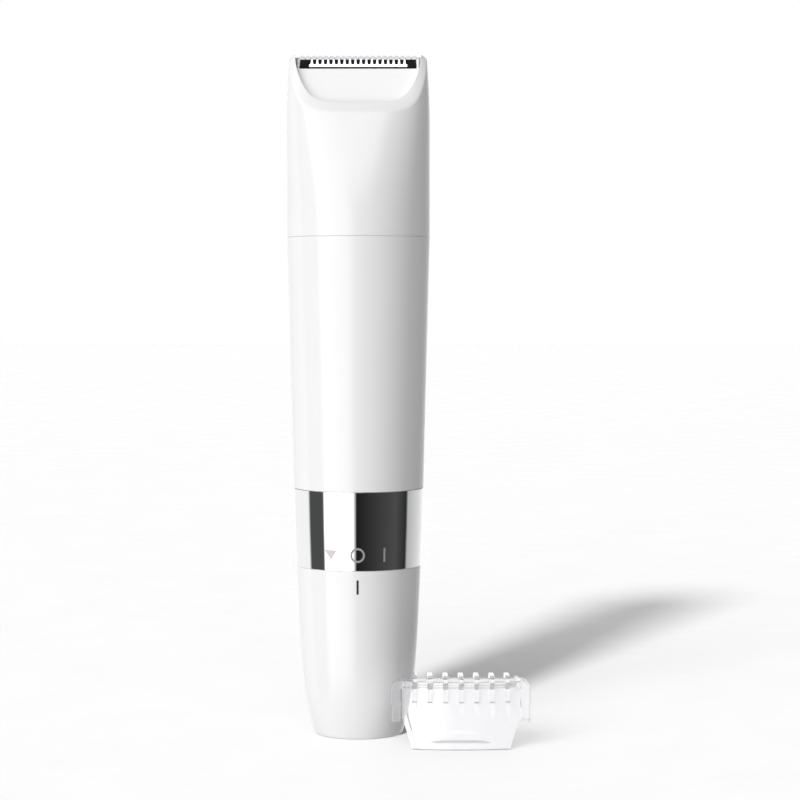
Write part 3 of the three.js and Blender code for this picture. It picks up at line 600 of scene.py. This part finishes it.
def apron_flanges():
    """The apron's two narrow flanges, one up each side of the blade."""
    outline = rounded([(-3.5, 146.2), (-2.5, 146.2), (0.3, 149.3), (-1.1, 149.4)], 0.3)
    for name, side in (("apron_flange_left", -1), ("apron_flange_right", 1)):
        piece = prism(name, outline, side * 12.86, side * 13.32, axes="yz", bevel=0.06)
        finished(piece, BRIGHTENED_APRON_FINISH, "head", degrees=40)


# ---------------------------------------------------------------- handle, ring and cap


def handle():
    """The white handle, its neck for the head and the skirt inside the ring, in one moulding."""
    neck_inset, neck_inner, neck_floor = 2.3, 3.6, 107.8
    groove_inset, groove_bottom, groove_top = 2.9, 113.4, 114.8
    bore_bottom = 57.5
    skirt_outer, skirt_inner, skirt_bottom = 12.8, 11.8, HANDLE_LOW[2]
    rows = [circle(skirt_bottom, skirt_inner), circle(skirt_bottom, skirt_outer - 0.15)]
    rows += [circle(skirt_bottom + 0.15, skirt_outer), circle(HANDLE_BOTTOM, skirt_outer)]
    rows += [level(HANDLE_BOTTOM, 0.4), level(HANDLE_BOTTOM, EASE), level(HANDLE_BOTTOM + EASE)]
    rows += [level(z) for z in np.linspace(HANDLE_BOTTOM + 1, SEAM - 1, 40)]
    rows += [level(SEAM - EASE), level(SEAM, EASE), level(SEAM, neck_inset + 0.1)]
    rows += [level(SEAM + 0.1, neck_inset), level(groove_bottom, neck_inset)]
    rows += [level(groove_bottom, groove_inset), level(groove_top, groove_inset)]
    rows += [level(groove_top, neck_inset), level(NECK_TOP - 0.3, neck_inset)]
    rows += [level(NECK_TOP, neck_inset + 0.3)]
    rows += [level(NECK_TOP, neck_inner), level(neck_floor, neck_inner)]
    rows += [level(neck_floor, WALL), level(bore_bottom, WALL), circle(bore_bottom, skirt_inner)]
    piece = skin("handle_body", rows, loop=True)
    return finished(piece, FINISHES["body_white"], "handle", ["handle_shell"])


def ring_radius(z):
    """The ring narrows a little towards the cap."""
    heights, insets = (RING_BOTTOM, RING_BEND, RING_TOP), (0.58, 0.26, 0.02)
    return np.interp(z, heights, [RING_RADIUS - inset for inset in insets])


def chrome_ring():
    inner = RING_RADIUS - 1.4
    outside = [(ring_radius(z), z) for z in np.linspace(RING_BOTTOM + EASE, RING_TOP - EASE, 24)]
    low = (outside[0][0] - EASE, RING_BOTTOM)
    high = (outside[-1][0] - EASE, RING_TOP)
    profile = [(inner, RING_BOTTOM), low, *outside, high, (inner, RING_TOP)]
    piece = turned("chrome_ring_band", profile, 256)
    return finished(piece, FINISHES["chrome"], "handle", ["chrome_ring"])


CAP_CURVE = bezier([(9.95, 0.7), (12.65, 9), (13, 18), (13.8, CAP_TOP)], np.linspace(0, 1, 60))


def cap_radius(z):
    return np.interp(z, CAP_CURVE[:, 1], CAP_CURVE[:, 0])


def battery_cap():
    """The cap, from the middle of its foot up the outside, over its neck and down the bore."""
    neck_radius, neck_top = 11.4, 46
    groove_radius, groove_bottom, groove_top = 10.7, 40.4, 41.6
    bore_radius, bore_floor = 9.9, 1.8
    foot = [(0, 0), (8.6, 0), (9.3, 0), (9.55, 0.06), (9.74, 0.2), (9.86, 0.42)]
    outside = [(r, z) for r, z in CAP_CURVE if z < CAP_TOP - 0.2]
    lip = [(13.79, CAP_TOP - EASE), (13.78 - EASE, CAP_TOP)]
    shoulder = [(12.2, CAP_TOP), (12.0, 33), (neck_radius, 32.4)]
    neck = [(neck_radius, groove_bottom), (groove_radius, groove_bottom)]
    neck += [(groove_radius, groove_top), (neck_radius, groove_top)]
    neck += [(neck_radius, neck_top - 0.2), (neck_radius - 0.2, neck_top)]
    bore = [(bore_radius, neck_top), (bore_radius, 30), (11.7, 29), (11.1, 18), (10.6, 10), (9.7, 5.8)]
    bore += [(8.2, bore_floor), (0, bore_floor)]
    piece = turned("battery_cap_shell", foot + outside + lip + shoulder + neck + bore)
    half, bottom, top = 2.2, 42.8, 47
    outline = [(-half, bottom), (half, bottom), (half, top), (-half, top)]
    notches = [prism("notch", outline, *reach, axes="yz") for reach in ((-12, -9), (9, 12))]
    combine(piece, notches, "DIFFERENCE")
    return finished(piece, FINISHES["body_white"], "battery_cap", ["battery_cap"])


# ---------------------------------------------------------------- printed marks

INK_DEPTH = 0.04


def on_drum(radius_at, azimuth, u, v, lift):
    """A point u mm round from azimuth (measured from the front) at height v, lifted off the drum."""
    radius = radius_at(v)
    angle = azimuth + u / radius
    return ((radius + lift) * math.sin(angle), -(radius + lift) * math.cos(angle), v)


def printed(name, stations, radius_at, azimuth, finish, body, slot, loop=False):
    """Ink on a drum: each station is a short line of (u, v) points across the stroke."""
    rings = []
    for line in stations:
        top = [on_drum(radius_at, azimuth, u, v, INK_DEPTH) for u, v in line]
        under = [on_drum(radius_at, azimuth, u, v, -INK_DEPTH) for u, v in line[::-1]]
        rings.append(top + under)
    return finished(skin(name, rings, loop), finish, body, degrees=50)


def bar_stations(half, low, high, steps=12):
    return [[(u, v) for u in np.linspace(-half, half, 3)] for v in np.linspace(low, high, steps)]


def ring_stations(radius, stroke, v0, steps=64):
    angles = np.arange(steps) * 2 * math.pi / steps
    radii = np.linspace(radius - stroke / 2, radius + stroke / 2, 3)
    return [[(r * math.cos(a), v0 + r * math.sin(a)) for r in radii] for a in angles]


def triangle_stations(half, low, high, steps=10):
    """A triangle that points down."""
    shares = np.linspace(0.03, 1, steps)
    return [[(u, low + (high - low) * s) for u in np.linspace(-half * s, half * s, 7)] for s in shares]


def marks():
    """The circle, bar and triangle on the ring, and the line on the cap that points at one of them."""
    side = math.radians(24.5)
    on_handle = {"radius_at": ring_radius, "body": "handle", "slot": "magnet"}
    on_cap = {"radius_at": cap_radius, "body": "battery_cap", "slot": "black_plastic"}
    circle_mark = ring_stations(1.39, 0.42, 41.05)
    printed("mark_off", circle_mark, azimuth=0, finish=GREY_INK, loop=True, **on_handle)
    printed("mark_on", bar_stations(0.2, 39.55, 42.6), azimuth=side, finish=GREY_INK, **on_handle)
    triangle = triangle_stations(1.5, 39.9, 42.15)
    printed("mark_open", triangle, azimuth=-side, finish=PALE_INK, **on_handle)
    printed("mark_index", bar_stations(0.23, 32.5, 35.6), azimuth=0, finish=BLACK_INK, **on_cap)


# ---------------------------------------------------------------- blades

FIXED_PITCH = 1.3
MOVING_PITCH = 1.2
BLADE_TILT = math.radians(10)
BLADE_TIP = Vector((0, 0.1, 149.9)) * MM


def on_blade_plane(thing):
    """Moves a piece from the blade's own frame, whose origin is the tips, to its place in the head."""
    thing.data.transform(Matrix.Translation(BLADE_TIP) @ Matrix.Rotation(-BLADE_TILT, 4, "X"))
    return thing


def toothed(count, pitch, root, tip, root_width, tip_width, base):
    """An outline with a row of round-tipped teeth on top. Its base runs from top right to top left."""
    points = []
    for i in range(count):
        x = (i - (count - 1) / 2) * pitch
        half = tip_width / 2
        round_off = 0.6 * half
        points += [(x - root_width / 2, root + 0.12), (x - half, tip - round_off)]
        for a in np.radians((-60, -25, 25, 60)):
            points.append((x + half * math.sin(a), tip - round_off * (1 - math.cos(a))))
        points += [(x + half, tip - round_off), (x + root_width / 2, root + 0.12)]
        if i < count - 1:
            points.append((x + pitch / 2, root))
    return points + base


def mirrored(points):
    """The right half of an outline, top to bottom, and then its mirror image."""
    return points + [(-x, z) for x, z in reversed(points)]


def blades():
    """The fixed comb blade, and the cutting blade that slides in front of it."""
    root, half, foot = -1.9, 11.7, -8
    ear, ear_depth = 12.75, 0.15
    base = mirrored([(ear, root), (ear, root - ear_depth), (half, root - ear_depth), (half, foot)])
    outline = toothed(20, FIXED_PITCH, root, tip=0.28, root_width=1.06, tip_width=0.98, base=base)
    fixed = prism("comb_blade", outline, 0, 0.45, bevel=0.04)
    finished(on_blade_plane(fixed), SHADED_FIXED_BLADE_FINISH, "head", ["fixed_blade"], 40)

    root, half, foot = -1.95, 6, -7.5
    ear, ear_foot = 10.8, -3.9
    base = mirrored([(ear, root), (ear, ear_foot), (half, ear_foot), (half, foot)])
    outline = toothed(18, MOVING_PITCH, root, tip=-0.75, root_width=0.54, tip_width=0.32, base=base)
    moving = prism("cutting_blade", outline, -0.75, -0.3, bevel=0.05)
    finished(on_blade_plane(moving), FINISHES["blade_steel"], "cutter", ["moving_blade"], 40)


# ---------------------------------------------------------------- trimming comb

COMB_CENTRE = (COMB_LOW[0] + COMB_HIGH[0]) / 2
COMB_FRONT = COMB_LOW[1] + 0.9
COMB_TOP = 14.7
COMB_BACK = 9.4
COMB_SHEET = 1.2
COMB_BAND = 1.2
# Half the panel's width at the foot, and above the taper.
COMB_FOOT = 10.5
COMB_HALF = 12.65
COMB_TAPER = 7
DISH_HALF = 8.2
DISH_DEPTH = 0.6
RIB_STAND = 0.9
RIB_TOP = COMB_HIGH[2]
RIB_PITCH = 3.32
RIB_WIDTH = 1.05
RIBS = 7
ARM_OUTSIDE = 15


def bow(x):
    """How far back the panel's front lies at x: its middle stands forward."""
    return 1.7 * (np.asarray(x) / COMB_HALF) ** 2


def smooth_step(start, end, value):
    """Rises from 0 at start to 1 at end, whichever of them is larger."""
    t = np.clip((value - start) / (end - start), 0, 1)
    return t * t * (3 - 2 * t)


def comb_relief(x, z):
    """How far the panel's front stands forward at x and heights z: rim and band, less the dish."""
    edge = COMB_FOOT + (COMB_HALF - COMB_FOOT) * np.minimum(1, z / COMB_TAPER)
    band_start = COMB_TOP - COMB_BAND
    band = 0.22 * smooth_step(band_start - 0.12, band_start + 0.05, z)
    rim = 0.16 * smooth_step(edge - 1.35, edge - 1.1, np.abs(x)) * smooth_step(9, 6, z)
    middle = 2.7 - 1.1 * (x / DISH_HALF) ** 2
    above = z > middle
    reach = np.hypot(x / DISH_HALF, (z - middle) / np.where(above, 1.8, 1.1))
    dish = DISH_DEPTH * np.where(above, smooth_step(1, 0.35, reach), smooth_step(1, 0.45, reach))
    return band + rim - dish


def comb_panel():
    """The bowed panel, tapered at the foot, with eased edges."""
    ease = 0.2
    xs = np.linspace(-COMB_HALF, COMB_HALF, 161)
    taper = (np.abs(xs) - COMB_FOOT) / (COMB_HALF - COMB_FOOT) * COMB_TAPER
    lows = 0.5 * (taper + np.sqrt(taper**2 + 0.09))
    lows = lows - lows.min()
    shares = np.linspace(0, 1, 110)
    rings = []
    for x, low in zip(xs, lows):
        z = low + (COMB_TOP - low) * shares
        from_foot = np.minimum(1, (z - low) / ease)
        from_top = np.minimum(1, (COMB_TOP - z) / ease)
        edge = ease * (1 - from_foot) ** 2 + ease * (1 - from_top) ** 2
        front = bow(x) - comb_relief(x, z) + edge
        back = bow(x) + COMB_SHEET - edge
        face = [(x, y, h) for y, h in zip(front, z)]
        rear = [(x, y, h) for y, h in zip(back[::-3], z[::-3])]
        rings.append(face + rear)
    return skin("comb_panel", rings)


def comb_rib(x):
    """One rib at x: it stands in front of the panel, wraps over its top and runs back to the rear bar."""
    y = float(bow(x))
    inner = y + COMB_SHEET + RIB_STAND
    back = COMB_BACK - 0.03
    outline = [
        (y - RIB_STAND, 10.6),
        (y + 0.4, 10),
        (y + 0.8, 6.8),
        (y + COMB_SHEET, 6.8),
        (inner, 10),
        (inner, 13),
        (inner + 0.8, 13.9),
        (COMB_BACK - 1.8, 13.9),
        (COMB_BACK - 1.1, 12.65),
        (back, 12.65),
        (back, 15.35),
        (y + RIB_STAND, RIB_TOP),
        (y - 0.6, RIB_TOP - 0.12),
        (y - RIB_STAND, RIB_TOP - 0.5),
    ]
    half = RIB_WIDTH / 2
    return prism("comb_rib", rounded(outline, 0.15, 2), x - half, x + half, axes="yz", bevel=0.08)


def comb_arm(side):
    """The clip at one side (-1 or 1), with a round shoulder, a small step outside and a notch inside."""
    shoulder = 2.3
    centre_x, centre_z = ARM_OUTSIDE - shoulder, COMB_TOP - shoulder
    angles = np.linspace(0, math.pi / 2, 9)
    arc = [(centre_x + shoulder * math.cos(a), centre_z + shoulder * math.sin(a)) for a in angles]
    foot, step = 5.9, 0.15
    inner = COMB_HALF + GAP
    outline = [(inner, foot), (ARM_OUTSIDE - step, foot), (ARM_OUTSIDE - step, 9.2)]
    outline += [(ARM_OUTSIDE, 9.3), *arc]
    outline += [(11.8, COMB_TOP), (11.8, 12.9), (inner, 12.9)]
    outline += [(inner, 9.7), (12.75, 9.6), (12.75, 9.1), (inner, 8.9)]
    outline = [(side * x, z) for x, z in outline]
    return prism("comb_arm", outline, 2.2, 7, bevel=0.18, segments=3)


def comb_cheek(side):
    """The wall that joins one end of the top band to the rear bar."""
    inside, outside, bottom, top = 11.7, 12.6, 12.62, 14.66
    outline = [(inside, bottom), (outside, bottom), (outside, top), (inside, top)]
    outline = [(side * x, z) for x, z in outline]
    return prism("comb_cheek", outline, 2.3, COMB_BACK - 0.02, bevel=0.1)


def comb_rear_bar():
    front, bottom, top, half = COMB_BACK - 1.1, 12.6, 14.2, 12.5
    outline = [(front, bottom), (COMB_BACK, bottom), (COMB_BACK, top), (front, top)]
    return prism("comb_rear_bar", outline, -half, half, axes="yz", bevel=0.15, segments=3)


def trimming_comb():
    """The clear comb, joined into one moulding."""
    ribs = [comb_rib((i - (RIBS - 1) / 2) * RIB_PITCH) for i in range(RIBS)]
    others = [comb_rear_bar(), comb_cheek(-1), comb_cheek(1), comb_arm(-1), comb_arm(1), *ribs]
    comb = combine(comb_panel(), others, "UNION")
    comb.name = "trimming_comb_clear"
    comb.data.transform(Matrix.Translation(Vector((COMB_CENTRE, COMB_FRONT, 0)) * MM))
    return finished(comb, FINISHES["clear_plastic"], "comb", ["trimming_comb"], degrees=30)


# ---------------------------------------------------------------- CAD pieces that stay


def keep_cad_nodes():
    """Gives every CAD mesh the finish of its slot, with smooth shading over its shallow edges."""
    slots = {row["node"]: row["material_slot"] for row in frame["record"]["subparts"]}
    for name, thing in frame["nodes"].items():
        thing.data.materials.clear()
        thing.data.materials.append(FINISHES[slots[name]].material)
        for polygon in thing.data.polygons:
            polygon.use_smooth = True
        smooth_by_angle(thing.data, 38)


# ---------------------------------------------------------------- studio

# A plain studio, with levels given as shares of WALL_LIGHT. Each stop is an azimuth and a level.
# Azimuth 0 is behind the camera, and it is positive to the right.
WALL_LIGHT = 2.4
WALLS = [
    # The lit back wall, round to the left.
    (-180, 0.5),
    (-150, 0.4),
    (-100, 0.4),
    # A dark flag that gives the chrome its edge.
    (-95, 0.03),
    (-65, 0.03),
    # The softbox at the left.
    (-60, 1.0),
    (-15, 1.0),
    # The dark room behind the camera, with a little spill at the right.
    (-3, 0.005),
    (70, 0.03),
    (95, 0.01),
    # The lit back wall again.
    (100, 0.2),
    (135, 0.3),
    (180, 0.5),
]
# The same above the walls: a softbox at the left, and another over the camera that the blade mirrors.
UPPER = [
    (-180, 0.14),
    (-66, 0.14),
    (-60, 1.0),
    (12, 1.0),
    (24, 0.03),
    (100, 0.03),
    (130, 0.12),
    (180, 0.14),
]
# And below them, where the pale floor throws light back.
LOWER = [
    (-180, 0.28),
    (-40, 0.29),
    (20, 0.29),
    (65, 0.11),
    (120, 0.16),
    (180, 0.28),
]
CEILING = [
    (-180, 0.2),
    (-60, 0.34),
    (20, 0.34),
    (60, 0.2),
    (180, 0.2),
]


def sines(*degrees):
    return np.sin(np.radians(degrees))


# Where one band of light gives way to the next, above the horizon and below it.
WALL_TOP = sines(11, 17)
UPPER_TOP = sines(42, 54)
WALL_FOOT = sines(18, 26)


class WorldTree:
    """Small helpers that build the world's node tree."""

    def __init__(self, world):
        world.use_nodes = True
        self.tree = world.node_tree
        self.tree.nodes.clear()

    def node(self, kind, **settings):
        made = self.tree.nodes.new(kind)
        for key, value in settings.items():
            setattr(made, key, value)
        return made

    def link(self, output, socket):
        self.tree.links.new(output, socket)

    def math(self, operation, *values):
        made = self.node("ShaderNodeMath", operation=operation)
        for socket, value in zip(made.inputs, values):
            if isinstance(value, (int, float)):
                socket.default_value = value
            else:
                self.link(value, socket)
        return made.outputs[0]

    def ramp(self, factor, stops):
        """Light by azimuth, from a list of stops."""
        made = self.node("ShaderNodeValToRGB")
        elements = made.color_ramp.elements
        while len(elements) < len(stops):
            elements.new(0.5)
        for element, (degrees, light) in zip(elements, stops):
            element.position = (degrees + 180) / 360
            element.color = (light, light, light, 1)
        self.link(factor, made.inputs["Fac"])
        return made.outputs["Color"]

    def rise(self, value, low, high):
        """0 where the value is under low, 1 where it is over high, and a soft step between them."""
        made = self.node("ShaderNodeMapRange", interpolation_type="SMOOTHSTEP")
        made.inputs["From Min"].default_value = low
        made.inputs["From Max"].default_value = high
        self.link(value, made.inputs["Value"])
        return made.outputs["Result"]

    def mix(self, share, first, second):
        made = self.node("ShaderNodeMix", data_type="RGBA")
        self.link(share, made.inputs["Factor"])
        for socket, value in ((made.inputs[6], first), (made.inputs[7], second)):
            if isinstance(value, (int, float)):
                socket.default_value = (value, value, value, 1)
            else:
                self.link(value, socket)
        return made.outputs[2]


def studio_world():
    """Lights the object from a plain studio, while the camera itself sees white behind it."""
    world = bpy.data.worlds.new("studio")
    bpy.context.scene.world = world
    tree = WorldTree(world)
    direction = tree.node("ShaderNodeSeparateXYZ")
    tree.link(tree.node("ShaderNodeTexCoord").outputs["Generated"], direction.inputs[0])
    towards_camera = tree.math("MULTIPLY", direction.outputs["Y"], -1)
    azimuth = tree.math("ARCTAN2", direction.outputs["X"], towards_camera)
    turn = tree.math("MULTIPLY_ADD", azimuth, 1 / (2 * math.pi), 0.5)
    up = direction.outputs["Z"]
    down = tree.math("MULTIPLY", up, -1)
    light = tree.mix(tree.rise(up, *WALL_TOP), tree.ramp(turn, WALLS), tree.ramp(turn, UPPER))
    light = tree.mix(tree.rise(up, *UPPER_TOP), light, tree.ramp(turn, CEILING))
    light = tree.mix(tree.rise(down, *WALL_FOOT), light, tree.ramp(turn, LOWER))
    lit = tree.node("ShaderNodeBackground")
    lit.inputs["Strength"].default_value = WALL_LIGHT
    tree.link(light, lit.inputs["Color"])
    seen = tree.node("ShaderNodeBackground")
    seen.inputs["Color"].default_value = (1, 1, 1, 1)
    both = tree.node("ShaderNodeMixShader")
    tree.link(tree.node("ShaderNodeLightPath").outputs["Is Camera Ray"], both.inputs["Fac"])
    tree.link(lit.outputs[0], both.inputs[1])
    tree.link(seen.outputs[0], both.inputs[2])
    tree.link(both.outputs[0], tree.node("ShaderNodeOutputWorld").inputs["Surface"])


def floor():
    """A pale floor that only the camera sees, so that it leaves the chrome and the clear comb alone."""
    finish = Finish("pale_floor", (0.24, 0.24, 0.24), 0.6).vary_color(60, 0.01).vary_roughness(20, 0.05)
    size = 4
    corners = [(-size, -size, 0), (size, -size, 0), (size, size, 0), (-size, size, 0)]
    mesh = bpy.data.meshes.new("floor")
    mesh.from_pydata(corners, [], [(0, 1, 2, 3)])
    ground = bpy.data.objects.new("floor", mesh)
    bpy.context.scene.collection.objects.link(ground)
    mesh.materials.append(finish.material)
    ground.visible_glossy = False
    ground.visible_transmission = False
    ground.visible_diffuse = False
    ground.visible_shadow = False
    ground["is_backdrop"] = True
    return ground


def collection_of(name, things):
    made = bpy.data.collections.new(name)
    for thing in things:
        made.objects.link(thing)
    return made


def floor_light(name, energy, spread, direction, ground, blockers=None):
    """Lights the floor alone. The spread in degrees says how soft its shadows are."""
    lamp = bpy.data.lights.new(name, "SUN")
    lamp.energy = energy
    lamp.angle = math.radians(spread)
    holder = bpy.data.objects.new(name, lamp)
    bpy.context.scene.collection.objects.link(holder)
    holder.rotation_euler = Vector(direction).to_track_quat("-Z", "Y").to_euler()
    holder.light_linking.receiver_collection = collection_of(f"lit_by_{name}", [ground])
    if blockers:
        holder.light_linking.blocker_collection = collection_of(f"shades_{name}", blockers)


def floor_lights(ground, comb):
    """A softbox at the front left throws the long shadow. A wider one and one overhead soften it."""
    from_front_left = (0.096, 0.232, -0.15)
    solid = [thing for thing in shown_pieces() if thing is not comb]
    floor_light("floor_key", 12.8, 7, from_front_left, ground, solid)
    floor_light("floor_wide", 6.2, 42, from_front_left, ground)
    floor_light("floor_top", 0.9, 120, (0, -0.2, -1), ground)


def camera():
    """A long lens half a metre in front, a little right of the middle and tilted down."""
    place, tilt_down = Vector((9.2, -510, 97.3)), 2.6
    lens = bpy.data.cameras.new("camera")
    lens.sensor_width = 36
    lens.lens = 103.5
    lens.clip_start = 0.01
    holder = bpy.data.objects.new("camera", lens)
    bpy.context.scene.collection.objects.link(holder)
    holder.location = place * MM
    holder.rotation_euler = (math.radians(90 - tilt_down), 0, 0)
    bpy.context.scene.camera = holder


keep_cad_nodes()
camera()
studio_world()
handle()
chrome_ring()
battery_cap()
head_shell()
head_roof()
head_apron()
apron_flanges()
marks()
blades()
comb = trimming_comb()
ground = floor()
floor_lights(ground, comb)
bpy.context.scene.view_settings.view_transform = "Standard"
